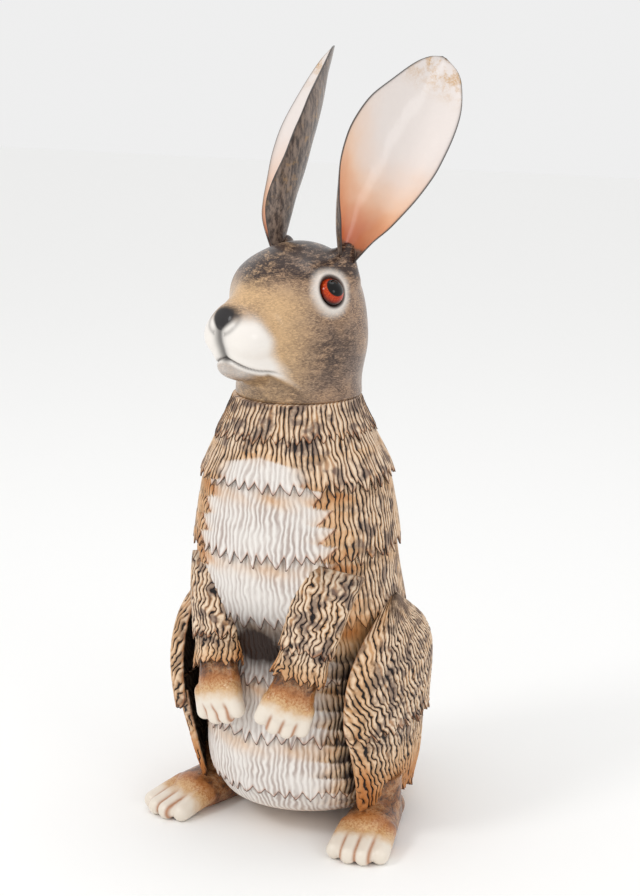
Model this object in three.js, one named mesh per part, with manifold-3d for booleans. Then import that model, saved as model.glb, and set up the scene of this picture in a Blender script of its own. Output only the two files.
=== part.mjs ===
// A garden rabbit of painted sheet metal that sits upright on its hind feet and rump.
// Its body is a stack of fur bands with toothed lower edges, each one hanging over the next.
// Millimetres, +Z up. The rabbit faces -Y and its own left side is +X; the ground is z = 0.
import * as THREE from "three";
import { mergeVertices } from "three/addons/utils/BufferGeometryUtils.js";
import Module from "manifold-3d";

const wasm = await Module();
wasm.setup();

// Driving sizes. The body's outline is given as shares of its height, width and depth.
const bodyHeight = 412;
const bodyWidth = 186;
const bodyDepth = 178;
const headLength = 160;
const earLength = 204;
const eyeRadius = 13;
const footLength = 130;
const pawLength = 62;
const tailRadius = 27;
const furSheet = 2.5;
const earSheet = 1.6;
const haunchSheet = 3;
const bandLap = 9;
const bandFlare = 5;
const toothPitch = 36;
const toothDepth = 11;
const fit = 0.3;
const skirtGap = 1.8;
const limbGap = 0.6;

const degrees = Math.PI / 180;
const clamp = (value, low, high) => Math.min(high, Math.max(low, value));
const mix = (a, b, t) => a + (b - a) * t;

// A number from 0 to 1 that is always the same for the same seed.
const chance = (seed) => {
  const wave = Math.sin(seed * 12.9898) * 43758.5453;
  return wave - Math.floor(wave);
};

// A smooth curve through rows of [place, value, ...]; returns the values at a place.
function curveThrough(rows) {
  const slope = (i, k) => {
    const before = rows[Math.max(i - 1, 0)];
    const after = rows[Math.min(i + 1, rows.length - 1)];
    return (after[k] - before[k]) / (after[0] - before[0]);
  };
  return (place) => {
    const at = clamp(place, rows[0][0], rows[rows.length - 1][0]);
    let i = 0;
    while (i < rows.length - 2 && rows[i + 1][0] < at) i += 1;
    const span = rows[i + 1][0] - rows[i][0];
    const t = (at - rows[i][0]) / span;
    return rows[i].slice(1).map((start, n) => {
      const k = n + 1;
      const end = rows[i + 1][k];
      const rise = slope(i, k) * span;
      const fall = slope(i + 1, k) * span;
      return (
        start * (1 + 2 * t) * (1 - t) ** 2 +
        rise * t * (1 - t) ** 2 +
        end * t * t * (3 - 2 * t) +
        fall * t * t * (t - 1)
      );
    });
  };
}

// Solids

function solidFrom(positions, triangles) {
  return new wasm.Manifold(
    new wasm.Mesh({
      numProp: 3,
      vertProperties: new Float32Array(positions.flat()),
      triVerts: new Uint32Array(triangles),
    }),
  );
}

// Rings of equally many points, joined and capped with a fan at both ends.
function stackRings(rings) {
  const count = rings[0].length;
  const positions = rings.flat();
  const triangles = [];
  for (let r = 0; r + 1 < rings.length; r += 1) {
    for (let i = 0; i < count; i += 1) {
      const j = (i + 1) % count;
      const [a, b] = [r * count + i, r * count + j];
      const [c, d] = [a + count, b + count];
      triangles.push(a, b, d, a, d, c);
    }
  }
  const centreOf = (ring) => [0, 1, 2].map((k) => ring.reduce((sum, p) => sum + p[k], 0) / count);
  const last = (rings.length - 1) * count;
  const first = positions.push(centreOf(rings[0])) - 1;
  const end = positions.push(centreOf(rings[rings.length - 1])) - 1;
  for (let i = 0; i < count; i += 1) {
    const j = (i + 1) % count;
    triangles.push(first, j, i);
    triangles.push(end, last + i, last + j);
  }
  return solidFrom(positions, triangles);
}

// What is left of a piece after a neighbour is cut from it, without the slivers.
const cutBy = (solid, room) =>
  solid
    .subtract(room)
    .decompose()
    .reduce((a, b) => (a.volume() > b.volume() ? a : b));

const joined = (solids) => solids.reduce((all, one) => all.add(one));

// A curved sheet: outer(u, v) and inner(u, v) are its two faces, u and v from 0 to 1.
function curvedSheet(outer, inner, columns, rows) {
  const positions = [];
  for (const face of [outer, inner]) {
    for (let r = 0; r <= rows; r += 1) {
      for (let c = 0; c <= columns; c += 1) positions.push(face(c / columns, r / rows));
    }
  }
  const wide = columns + 1;
  const side = wide * (rows + 1);
  const triangles = [];
  const quad = (a, b, c, d) => triangles.push(a, b, c, a, c, d);
  for (let r = 0; r < rows; r += 1) {
    for (let c = 0; c < columns; c += 1) {
      const a = r * wide + c;
      quad(a, a + 1, a + 1 + wide, a + wide);
      quad(side + a, side + a + wide, side + a + 1 + wide, side + a + 1);
    }
  }
  for (let c = 0; c < columns; c += 1) {
    const top = rows * wide + c;
    quad(c, side + c, side + c + 1, c + 1);
    quad(top, top + 1, side + top + 1, side + top);
  }
  for (let r = 0; r < rows; r += 1) {
    const left = r * wide;
    const right = left + columns;
    quad(left, left + wide, side + left + wide, side + left);
    quad(right, side + right, side + right + wide, right + wide);
  }
  const made = solidFrom(positions, triangles);
  return made.volume() > 0 ? made : solidFrom(positions, triangles.reverse());
}

// Distances to round forms, less than zero inside.

function ellipsoid(centre, radii) {
  const reach = new THREE.Vector3(...radii);
  const offset = new THREE.Vector3();
  return (p) => {
    offset.set(p.x - centre[0], p.y - centre[1], p.z - centre[2]).divide(reach);
    const near = offset.length();
    return (near * (near - 1)) / Math.max(offset.divide(reach).length(), 1e-6);
  };
}

function taperedRod(from, to, startRadius, endRadius) {
  const [a, b] = [new THREE.Vector3(...from), new THREE.Vector3(...to)];
  const along = b.clone().sub(a);
  const offset = new THREE.Vector3();
  return (p) => {
    const t = clamp(offset.copy(p).sub(a).dot(along) / along.lengthSq(), 0, 1);
    return offset.addScaledVector(along, -t).length() - mix(startRadius, endRadius, t);
  };
}

const smoothJoin = (forms, softness) => (p) =>
  forms
    .map((form) => form(p))
    .reduce((a, b) => {
      const h = clamp(0.5 + (0.5 * (b - a)) / softness, 0, 1);
      return mix(b, a, h) - softness * h * (1 - h);
    });

// Where a ray from inside a form leaves it, or leaves the form grown by a clearance.
function exitPoint(form, start, direction, far, grow = 0) {
  const point = new THREE.Vector3();
  const stray = (reach) => form(point.copy(start).addScaledVector(direction, reach)) > grow;
  const step = far / 100;
  let inside = far;
  while (inside > step && stray(inside)) inside -= step;
  let outside = inside + step;
  for (let n = 0; n < 14; n += 1) {
    const middle = (inside + outside) / 2;
    if (stray(middle)) outside = middle;
    else inside = middle;
  }
  return point.copy(start).addScaledVector(direction, inside).clone();
}

// The skin of a form as seen from its centre: a ball of triangles, stretched, with each corner
// moved out to the form.
function skinOf(form, centre, stretch, detail, grow = 0) {
  const ball = new THREE.IcosahedronGeometry(1, detail);
  ball.deleteAttribute("normal");
  ball.deleteAttribute("uv");
  const merged = mergeVertices(ball, 1e-4);
  const corner = merged.getAttribute("position");
  const start = new THREE.Vector3(...centre);
  const reach = new THREE.Vector3(...stretch);
  const far = 2 * Math.max(...stretch);
  const ray = new THREE.Vector3();
  const positions = [];
  for (let i = 0; i < corner.count; i += 1) {
    ray.fromBufferAttribute(corner, i).multiply(reach).normalize();
    const p = exitPoint(form, start, ray, far, grow);
    positions.push([p.x, p.y, p.z]);
  }
  return solidFrom(positions, [...merged.index.array]);
}

// Body: each row is a height, half the width, the front and the back, as shares.
const bodyRows = [
  [0.0, 0.36, 0.2, 0.56],
  [0.012, 0.55, 0.07, 0.62],
  [0.03, 0.72, -0.09, 0.68],
  [0.05, 0.83, -0.24, 0.73],
  [0.075, 0.93, -0.345, 0.78],
  [0.145, 1.02, -0.42, 0.83],
  [0.22, 1.04, -0.43, 0.8],
  [0.32, 1.02, -0.39, 0.73],
  [0.42, 1.0, -0.39, 0.65],
  [0.53, 0.985, -0.455, 0.58],
  [0.63, 0.975, -0.5, 0.54],
  [0.74, 0.955, -0.485, 0.51],
  [0.84, 0.89, -0.455, 0.47],
  [0.91, 0.78, -0.415, 0.41],
  [0.96, 0.69, -0.37, 0.36],
  [1.0, 0.63, -0.33, 0.33],
];
const bodyAt = curveThrough(bodyRows);

// The point of the body's outline at a turn from the front (towards +X) and a height.
function bodyPoint(turn, height, out) {
  const [halfWidth, front, back] = bodyAt(height / bodyHeight);
  const middle = ((front + back) / 2) * bodyDepth;
  const halfDepth = ((back - front) / 2) * bodyDepth;
  return [
    ((halfWidth * bodyWidth) / 2 + out) * Math.sin(turn),
    middle - (halfDepth + out) * Math.cos(turn),
    height,
  ];
}

// A tooth's point is an even column and the notch beside it an odd one.
const deepestTooth = 1.15 * toothDepth;
const toothDrop = (column, seed) =>
  column % 2 ? 0 : deepestTooth * mix(0.5, 1, chance(column + seed * 31));
// How far a covered band stands out, so that it clears the skirt that hangs over it.
const tuck = bandFlare - furSheet - skirtGap;

// A band of fur: a solid plug whose toothed skirt hangs over the top of the band below it.
// place(turn, station, out) is a point of the surface, with stations that rise from the lower end.
// edge(turn) is the height that the teeth hang from; a covered band tucks in under another.
function furBand(place, columns, { top, bottom, edge, covered, seed }) {
  const ring = (station, out) =>
    Array.from({ length: columns }, (_, i) => {
      const turn = (i / columns) * 2 * Math.PI;
      return place(turn, station(turn, i), out);
    });
  const teeth = (turn, i) => edge(turn) - toothDrop(i, seed);
  const ledge = bottom + bandLap;
  const underTeeth = top - bandLap - deepestTooth;
  const upper = covered
    ? [ring(() => underTeeth, tuck), ring(() => top, tuck)]
    : [ring(() => top, 0)];
  const rings = [
    ring(() => ledge, tuck + skirtGap / 2),
    ring(teeth, bandFlare - furSheet),
    ring(teeth, bandFlare),
    ring(() => ledge + furSheet, mix(bandFlare, tuck, 0.5)),
    ...upper,
  ];
  const made = stackRings(rings);
  return made.volume() > 0 ? made : stackRings(rings.reverse());
}

// The bands' lower edges at the front, as shares of the body's height, from the neck down.
// dip lowers an edge on the rabbit's right side, as the hand-cut bands do.
const bodyBands = [
  { name: "neck_collar", bottom: 0.94, dip: 0.02 },
  { name: "shoulder_band", bottom: 0.842, dip: 0 },
  { name: "chest_band", bottom: 0.688, dip: 0 },
  { name: "waist_band", bottom: 0.54, dip: 0 },
  { name: "belly_band", bottom: 0.39, dip: 0 },
  { name: "lap_band", bottom: 0.262, dip: 0 },
  { name: "hem_band", bottom: 0.128, dip: 0 },
];
const bodyColumns = 2 * Math.round((Math.PI * bodyWidth) / toothPitch);
const edgeOf = ({ bottom, dip }) => (turn) => (bottom - dip * clamp(-Math.sin(turn), 0, 1)) * bodyHeight;
const underBand = ({ bottom }) => bottom * bodyHeight + bandLap - fit;

function bodyBand(band, index) {
  const above = bodyBands[index - 1];
  const shape = {
    top: above ? underBand(above) : bodyHeight,
    bottom: band.bottom * bodyHeight,
    edge: edgeOf(band),
    covered: Boolean(above),
    seed: index,
  };
  return furBand(bodyPoint, bodyColumns, shape);
}

// The rump's underside is a shallow bowl with a flat patch that the rabbit sits on.
function seatBase(room) {
  const top = underBand(bodyBands[bodyBands.length - 1]);
  const rings = [0, 0.08, 0.2, 0.35, 0.6, 1].map((share) =>
    Array.from({ length: bodyColumns }, (_, i) =>
      bodyPoint((i / bodyColumns) * 2 * Math.PI, share * top, share * tuck + room),
    ),
  );
  return stackRings(rings);
}

// The space that the whole body takes up, for cutting what leans on it: the seat, and above it one
// smooth outline as far out as the bands' teeth reach, so that no tooth cuts a hole of its own.
const roomRings = 24;

function bodyRoom() {
  const lowest = bodyBands[bodyBands.length - 1].bottom * bodyHeight - deepestTooth - limbGap;
  const rings = Array.from({ length: roomRings + 1 }, (_, k) =>
    Array.from({ length: bodyColumns }, (_, i) => {
      const height = mix(lowest, bodyHeight + limbGap, k / roomRings);
      return bodyPoint((i / bodyColumns) * 2 * Math.PI, height, bandFlare + limbGap);
    }),
  );
  return joined([seatBase(limbGap), stackRings(rings)]);
}

// Head: built in its own frame, then turned a little to the rabbit's right.
const headTurn = 16;
const headRise = 67;
const headCentre = [0, 0.012 * bodyDepth, bodyHeight + headRise];

// Places in the head's own frame: [towards its left, forward, up], as shares of its length.
const inHead = (left, forward, up) => [left, -forward, up].map((share) => share * headLength);
const headRadii = (wide, long, high) => [wide, long, high].map((share) => share * headLength);

const headForm = smoothJoin(
  [
    ellipsoid(inHead(0, 0, 0.1), headRadii(0.35, 0.385, 0.345)),
    ellipsoid(inHead(0, -0.01, -0.08), headRadii(0.375, 0.39, 0.33)),
    ellipsoid(inHead(0.17, 0.12, 0.17), headRadii(0.15, 0.16, 0.15)),
    ellipsoid(inHead(-0.17, 0.12, 0.17), headRadii(0.15, 0.16, 0.15)),
    taperedRod(inHead(0, 0.2, 0.12), inHead(0, 0.47, 0.045), 0.2 * headLength, 0.12 * headLength),
    ellipsoid(inHead(0.09, 0.44, -0.04), headRadii(0.125, 0.16, 0.125)),
    ellipsoid(inHead(-0.09, 0.44, -0.04), headRadii(0.125, 0.16, 0.125)),
    ellipsoid(inHead(0, 0.385, -0.215), headRadii(0.16, 0.18, 0.08)),
    taperedRod(inHead(0, 0, -0.2), inHead(0, -0.01, -0.6), 0.355 * headLength, 0.365 * headLength),
  ],
  0.1 * headLength,
);

// The eyes are glass balls let into the sides of the head, most of each one hidden inside it.
const eyeDepth = 0.45 * eyeRadius;
const eyePlace = (side) => {
  const direction = new THREE.Vector3(...inHead(side * 0.31, 0.075, 0.19)).normalize();
  const surface = exitPoint(headForm, new THREE.Vector3(), direction, headLength);
  return surface.addScaledVector(direction, -eyeDepth).toArray();
};
const placeHead = (solid) => solid.rotate([0, 0, -headTurn]).translate(headCentre);
const cube = (size) => [size, size, size];

function eyeBall(side, grow) {
  const form = ellipsoid([0, 0, 0], cube(eyeRadius));
  return skinOf(form, [0, 0, 0], cube(2 * eyeRadius), 1, grow).translate(eyePlace(side));
}

function headShell(grow) {
  const reach = headRadii(1, 1.15, 1.05);
  const skin = skinOf(headForm, inHead(0, 0.08, -0.02), reach, 5, grow);
  return skin.trimByPlane([0, 0, 1], fit - headRise - grow);
}

// Ears: a leaf of sheet metal curled about its middle line.
// Rows: share of the length, half the chord, the curl and the opening's turn from the front in
// degrees, and how far the middle line shifts outwards.
const earRows = [
  [0.0, 0.04, 112, 55, 0],
  [0.1, 0.09, 104, 53, -0.035],
  [0.2, 0.14, 88, 49, -0.045],
  [0.34, 0.188, 70, 44, -0.045],
  [0.5, 0.216, 60, 41, -0.036],
  [0.66, 0.208, 52, 40, -0.02],
  [0.8, 0.168, 44, 40, 0.008],
  [0.91, 0.118, 36, 40, 0.018],
  [0.97, 0.07, 30, 40, 0.02],
  [1.0, 0.012, 28, 40, 0.01],
];
const earAt = curveThrough(earRows);
const earSplay = 6.5;
const earLean = (side) => 29 + 2 * side;
const earTwist = 12;

function earPoint(side, u, v, inset) {
  const [half, curl, facing, shift] = earAt(v);
  const along = new THREE.Vector3(
    side * Math.sin(earSplay * degrees),
    Math.cos(earSplay * degrees) * Math.sin(earLean(side) * degrees),
    Math.cos(earSplay * degrees) * Math.cos(earLean(side) * degrees),
  );
  const turn = (facing + side * earTwist) * degrees;
  const open = new THREE.Vector3(side * Math.sin(turn), -Math.cos(turn), 0);
  open.addScaledVector(along, -open.dot(along)).normalize();
  const outwards = new THREE.Vector3().crossVectors(along, open).multiplyScalar(side);
  const bend = curl * degrees;
  const radius = (half * earLength) / Math.sin(Math.min(bend, Math.PI / 2));
  const angle = (2 * u - 1) * bend;
  const reach = Math.max(radius - inset, 0.05);
  const p = new THREE.Vector3(...inHead(side * 0.235, -0.11, 0.36))
    .addScaledVector(along, v * earLength)
    .addScaledVector(outwards, reach * Math.sin(angle) + shift * earLength)
    .addScaledVector(open, radius - reach * Math.cos(angle));
  return [p.x, p.y, p.z];
}

function ear(side) {
  const face = (inset) => (u, v) => earPoint(side, u, v, inset);
  return curvedSheet(face(0), face(earSheet), 7, 9);
}

// Arms: two fur sleeves along a curve from the chest's side to the wrist, then a paw.
// The path's points are shares of the body's width, depth and height.
const armPath = [
  [0.318, -0.28, 0.66],
  [0.285, -0.35, 0.566],
  [0.255, -0.39, 0.485],
  [0.23, -0.42, 0.425],
  [0.2, -0.465, 0.364],
  [0.175, -0.51, 0.3155],
];
const armLength = 158;
const armWide = 23;
const armThick = 17;
const armTop = 0.97 * armLength;
const elbow = 0.47 * armLength;
const wrist = 0.2 * armLength;
const shoulderShift = 6;
// Rows: how far up the arm, and how much wider and thicker it is there. The top sinks into the body.
const armGirth = curveThrough([
  [0, 0.95, 0.95],
  [0.5, 0.97, 0.97],
  [0.75, 1.15, 1.1],
  [1, 1.35, 0.75],
]);
// The right arm's front is turned less outwards than the left one's.
const armFacing = (side) => [0.2 + 0.3 * side, -0.87, 0.1];

// The arm's own directions at a station: where it is, across it and out of its front.
function armFrame(side, station) {
  const points = armPath.map(
    ([x, y, z]) => new THREE.Vector3(side * x * bodyWidth, y * bodyDepth, z * bodyHeight),
  );
  const path = new THREE.CatmullRomCurve3(points);
  const rise = clamp(station / armLength, 0, 1);
  const along = path.getTangentAt(1 - rise);
  const front = new THREE.Vector3(...armFacing(side));
  front.addScaledVector(along, -front.dot(along)).normalize();
  const across = new THREE.Vector3().crossVectors(along, front);
  const centre = path.getPointAt(1 - rise);
  centre.x += shoulderShift * rise;
  return { rise, centre, across, front, up: along.negate() };
}

const armPoint = (side) => (turn, station, out) => {
  const { rise, centre, across, front } = armFrame(side, station);
  const [wider, thicker] = armGirth(rise);
  return centre
    .addScaledVector(across, (armWide * wider + out) * Math.sin(turn))
    .addScaledVector(front, (armThick * thicker + out) * Math.cos(turn))
    .toArray();
};

const armColumns = 12;

function upperArm(side) {
  const shape = { top: armTop, bottom: elbow, edge: () => elbow, covered: false, seed: 12 - side };
  return furBand(armPoint(side), armColumns, shape);
}

function foreArm(side) {
  const top = elbow + bandLap - fit;
  const shape = { top, bottom: wrist, edge: () => wrist, covered: true, seed: 16 - side };
  return furBand(armPoint(side), armColumns, shape);
}

// A toe: a six-sided rod from its knuckle to its rounded tip.
function toe(from, to, radius) {
  const start = new THREE.Vector3(...from);
  const path = new THREE.Vector3(...to).sub(start);
  const side = new THREE.Vector3(1, 0, 0).addScaledVector(path, -path.x / path.lengthSq()).normalize();
  const top = new THREE.Vector3().crossVectors(side, path).normalize();
  const girths = [
    [0, 1],
    [0.88, 0.86],
    [1, 0.45],
  ];
  const rings = girths.map(([share, girth]) =>
    Array.from({ length: 6 }, (_, i) => {
      const turn = (i / 6) * 2 * Math.PI;
      return start
        .clone()
        .addScaledVector(path, share)
        .addScaledVector(side, girth * radius * Math.cos(turn))
        .addScaledVector(top, girth * radius * Math.sin(turn))
        .toArray();
    }),
  );
  const made = stackRings(rings);
  return made.volume() > 0 ? made : stackRings(rings.reverse());
}

// Four toes side by side, from -1 at one edge of the foot to 1 at the other.
const toes = (knuckle, tip, radius) =>
  [-1, -0.34, 0.34, 1].map((place) => toe(knuckle(place), tip(place), radius));

// A front paw hangs from its wrist, inside the forearm's skirt.
function paw(side) {
  const size = pawLength;
  const palmCentre = [0, 0, -0.2 * size];
  const palmRadii = [0.33 * size, 0.2 * size, 0.44 * size];
  const palm = skinOf(ellipsoid(palmCentre, palmRadii), palmCentre, palmRadii, 2);
  const fingers = toes(
    (x) => [0.21 * x * size, 0, -0.34 * size],
    (x) => [0.28 * x * size, 0.05 * size, (Math.abs(x) < 1 ? -0.86 : -0.79) * size],
    0.125 * size,
  );
  const { centre, across, front, up } = armFrame(side, wrist + bandLap - fit);
  return joined([palm, ...fingers])
    .trimByPlane([0, 0, -1], fit)
    .transform(new THREE.Matrix4().makeBasis(across, front.negate(), up).setPosition(centre).toArray());
}

// Hind feet: a heel, an instep, four toes and an ankle that rises into the haunch.
const footSplay = (side) => 14.5 - 2.5 * side;
const footPlace = (side) => [side * 0.475 * bodyWidth, -0.06 * bodyDepth, 0];
const ankleTop = 0.42 * footLength;

function foot(side) {
  const size = footLength;
  const form = smoothJoin(
    [
      ellipsoid([0, 0.3 * size, 0.1 * size], [0.15 * size, 0.18 * size, 0.12 * size]),
      ellipsoid([0, -0.02 * size, 0.12 * size], [0.19 * size, 0.38 * size, 0.16 * size]),
      taperedRod([0, 0.1 * size, 0.12 * size], [0, 0.13 * size, 0.46 * size], 0.17 * size, 0.17 * size),
    ],
    0.07 * size,
  );
  const middle = skinOf(form, [0, 0, 0.13 * size], [0.4 * size, 0.6 * size, 0.5 * size], 2);
  const tips = toes(
    (x) => [0.13 * x * size, -0.2 * size, 0.12 * size],
    (x) => [0.16 * x * size, (Math.abs(x) < 1 ? -0.57 : -0.52) * size, 0.056 * size],
    0.076 * size,
  );
  return joined([middle, ...tips])
    .trimByPlane([0, 0, 1], 0)
    .trimByPlane([0, 0, -1], -ankleTop)
    .rotate([0, 0, side * footSplay(side)])
    .translate(footPlace(side));
}

// Haunches: a bulging shell of sheet metal, open at the front, in two bands.
// Rows: height, the front rim, the back edge, the rim's distance from the middle and the bulge.
const haunchRows = [
  [0.06, -0.17, 0.43, 0.43, 0.075],
  [0.14, -0.225, 0.45, 0.45, 0.1],
  [0.21, -0.28, 0.46, 0.452, 0.118],
  [0.29, -0.34, 0.45, 0.452, 0.14],
  [0.37, -0.355, 0.455, 0.46, 0.155],
  [0.43, -0.32, 0.43, 0.472, 0.15],
  [0.485, -0.23, 0.33, 0.49, 0.12],
  [0.535, -0.07, 0.17, 0.505, 0.06],
  [0.56, 0.02, 0.09, 0.51, 0.02],
];
const haunchAt = curveThrough(haunchRows);
const haunchFullness = 0.75;
const haunchColumns = 12;
const haunchUpper = (side) => ({ bottom: 0.285, top: 0.56, flare: 5, sink: 0, rows: 4, seed: side + 5 });
const haunchLower = (side) => ({ bottom: 0.085, top: 0.31, flare: 0, sink: 0.6, rows: 4, seed: side + 9 });

function haunchPoint(side, u, height, out) {
  const [front, back, rim, bulge] = haunchAt(height / bodyHeight);
  const turn = u * Math.PI;
  const middle = ((front + back) / 2) * bodyDepth;
  const half = ((back - front) / 2) * bodyDepth + out;
  return [
    side * (rim * bodyWidth + (bulge * bodyWidth + out) * Math.sin(turn) ** haunchFullness),
    middle - half * Math.cos(turn),
    height,
  ];
}

// The band's lower edge stands out by its flare and its upper edge sinks in under the band above.
function haunchBand(side, { bottom, top, flare, sink, rows, seed }, room = 0) {
  const face = (inset) => (u, v) => {
    const drop = v === 0 ? toothDrop(Math.round(u * haunchColumns), seed) + room : 0;
    const height = mix(bottom, top, v) * bodyHeight - drop;
    return haunchPoint(side, u, height, mix(flare, -sink, v) - inset);
  };
  return curvedSheet(face(-room), face(haunchSheet + room), haunchColumns, rows);
}

// The space that the shell's lower band takes up, grown all round, for cutting the ankle that rises into it.
function shankRoom(side) {
  const grown = haunchBand(side, haunchLower(side), limbGap);
  const shifts = [[-1, -1, -1], [1, -1, -1], [0, 0, 1]];
  return joined([grown, ...shifts.map((shift) => grown.translate(shift.map((step) => step * limbGap)))]);
}

// Tail: a tuft against the back of the lowest bands.
function tail() {
  const size = tailRadius;
  const centre = bodyPoint(Math.PI, 0.13 * bodyHeight, 0.7 * size);
  const form = smoothJoin(
    [
      ellipsoid([0, 0, 0], [0.85 * size, 0.8 * size, 1.1 * size]),
      ellipsoid([0, 0.35 * size, 0.6 * size], [0.55 * size, 0.55 * size, 0.7 * size]),
    ],
    0.3 * size,
  );
  return skinOf(form, [0, 0, 0], cube(size), 2).translate(centre);
}

// Materials

const finish = (colour, roughness, metalness = 0) =>
  new THREE.MeshStandardMaterial({ color: new THREE.Color(...colour), roughness, metalness });
const furPaint = finish([0.42, 0.31, 0.22], 0.45);
const bellyPaint = finish([0.78, 0.72, 0.66], 0.45);
const headPaint = finish([0.5, 0.37, 0.26], 0.3);
const earPaint = finish([0.85, 0.66, 0.54], 0.3);
const eyeGlass = finish([0.55, 0.12, 0.03], 0.08);
const toePaint = finish([0.83, 0.76, 0.68], 0.35);

// Assembly

const rabbit = new THREE.Group();

function add(name, solid, material) {
  const { numProp, vertProperties, triVerts } = solid.getMesh();
  const corners = new Float32Array((vertProperties.length / numProp) * 3);
  for (let i = 0; i * numProp < vertProperties.length; i += 1) {
    corners.set(vertProperties.subarray(i * numProp, i * numProp + 3), i * 3);
  }
  const geometry = new THREE.BufferGeometry()
    .setAttribute("position", new THREE.BufferAttribute(corners, 3))
    .setIndex(new THREE.BufferAttribute(new Uint32Array(triVerts), 1));
  geometry.computeVertexNormals();
  const mesh = new THREE.Mesh(geometry, material);
  mesh.name = name;
  rabbit.add(mesh);
}

bodyBands.forEach((band, index) => {
  add(band.name, bodyBand(band, index), index < 2 ? furPaint : bellyPaint);
});
add("seat_base", seatBase(0), bellyPaint);

const eyes = [1, -1].map((side) => eyeBall(side, 0));
const sockets = [1, -1].map((side) => eyeBall(side, fit));
add("head_shell", placeHead(headShell(0).subtract(sockets[0]).subtract(sockets[1])), headPaint);
add("left_eye", placeHead(eyes[0]), eyeGlass);
add("right_eye", placeHead(eyes[1]), eyeGlass);

const headRoom = headShell(fit);
add("left_ear", placeHead(cutBy(ear(1), headRoom)), earPaint);
add("right_ear", placeHead(cutBy(ear(-1), headRoom)), earPaint);

const room = bodyRoom();
for (const [side, name] of [
  [1, "left"],
  [-1, "right"],
]) {
  add(`${name}_upper_arm`, cutBy(upperArm(side), room), furPaint);
  add(`${name}_forearm`, cutBy(foreArm(side), room), furPaint);
  add(`${name}_paw`, cutBy(paw(side), room), toePaint);
  add(`${name}_haunch`, cutBy(haunchBand(side, haunchUpper(side)), room), furPaint);
  add(`${name}_shank`, cutBy(haunchBand(side, haunchLower(side)), room), furPaint);
  add(`${name}_foot`, cutBy(cutBy(foot(side), shankRoom(side)), room), toePaint);
}
add("tail", cutBy(tail(), room), bellyPaint);

// The origin is on the ground, under the middle of the space that the rabbit takes up.
const middle = new THREE.Box3().setFromObject(rabbit).getCenter(new THREE.Vector3());
rabbit.position.set(-middle.x, -middle.y, 0);

export default rabbit;
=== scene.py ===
import math

import bmesh
import bpy
import numpy as np
from mathutils import Matrix, Vector


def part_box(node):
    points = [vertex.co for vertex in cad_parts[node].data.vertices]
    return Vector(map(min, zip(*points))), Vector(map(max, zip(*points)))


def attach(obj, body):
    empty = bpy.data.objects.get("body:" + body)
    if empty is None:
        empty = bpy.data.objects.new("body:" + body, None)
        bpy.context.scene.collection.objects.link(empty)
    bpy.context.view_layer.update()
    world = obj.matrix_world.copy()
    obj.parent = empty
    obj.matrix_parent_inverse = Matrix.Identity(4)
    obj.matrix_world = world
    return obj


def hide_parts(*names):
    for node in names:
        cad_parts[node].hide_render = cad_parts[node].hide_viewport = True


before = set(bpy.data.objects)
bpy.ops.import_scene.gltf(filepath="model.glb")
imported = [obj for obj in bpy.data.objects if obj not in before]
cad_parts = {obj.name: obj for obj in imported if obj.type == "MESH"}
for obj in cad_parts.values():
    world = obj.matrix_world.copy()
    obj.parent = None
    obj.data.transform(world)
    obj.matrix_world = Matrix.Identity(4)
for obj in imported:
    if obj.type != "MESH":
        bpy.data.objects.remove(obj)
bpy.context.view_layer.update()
mm = 0.001


# numbers and curves

def smoothStep(low, high, value):
    t = np.clip((value - low) / (high - low), 0, 1)
    return t * t * (3 - 2 * t)


def mixed(a, b, share):
    return a + (b - a) * share


def hump(value, middle, width):  # 1 at the middle, fading to 0 on both sides
    return np.exp(-(((value - middle) / width) ** 2))


def chance(seed):  # from 0 to 1, always the same for the same seed
    wave = np.sin(np.asarray(seed, float) * 12.9898) * 43758.5453
    return wave - np.floor(wave)


def drift(x, y, seed):  # slow unevenness from about -1 to 1
    total = 0
    for k in range(4):
        a, b, c = chance(seed + 3.1 * k), chance(seed + 5.7 * k + 1), chance(seed + 7.3 * k + 2)
        total = total + np.sin((1 + k) * (x * (0.6 + a) + y * (0.6 + b)) + 6.283 * c) / (1 + k)
    return total / 2.1


def curveThrough(rows):  # a smooth curve through rows of [place, value, ...]
    table = np.array(rows, float)
    place, values = table[:, 0], table[:, 1:]
    after = np.minimum(np.arange(len(place)) + 1, len(place) - 1)
    before = np.maximum(np.arange(len(place)) - 1, 0)
    slopes = (values[after] - values[before]) / (place[after] - place[before])[:, None]

    def at(where):
        x = np.clip(where, place[0], place[-1])
        i = np.clip(np.searchsorted(place, x, side="right") - 1, 0, len(place) - 2)
        span = (place[i + 1] - place[i])[..., None]
        t = (x - place[i])[..., None] / span
        start, end = values[i] * (1 + 2 * t) * (1 - t) ** 2, values[i + 1] * t * t * (3 - 2 * t)
        return start + end + span * t * (1 - t) * (slopes[i] * (1 - t) - slopes[i + 1] * t)

    return at


def spread(parts):  # points from their x, y and z
    return np.stack(np.broadcast_arrays(*parts), axis=-1)


def turning(degrees):  # a turn about the upright axis, for points in rows
    a = math.radians(degrees)
    return np.array([[math.cos(a), math.sin(a), 0], [-math.sin(a), math.cos(a), 0], [0, 0, 1]])


def unit(v):
    return v / np.linalg.norm(v, axis=-1, keepdims=True)


# meshes

def placed(name, data):  # an object in the scene
    thing = bpy.data.objects.new(name, data)
    bpy.context.scene.collection.objects.link(thing)
    return thing


def read(mesh, key):  # the points' places or normals
    values = np.empty(len(mesh.vertices) * 3)
    mesh.vertices.foreach_get(key, values)
    return values.reshape(-1, 3)


def carry(mesh, data):  # values that the paints read
    for key, values in data.items():
        layer = mesh.attributes.new(key, "FLOAT", "POINT")
        layer.data.foreach_set("value", np.asarray(values, np.float32).ravel())


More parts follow.
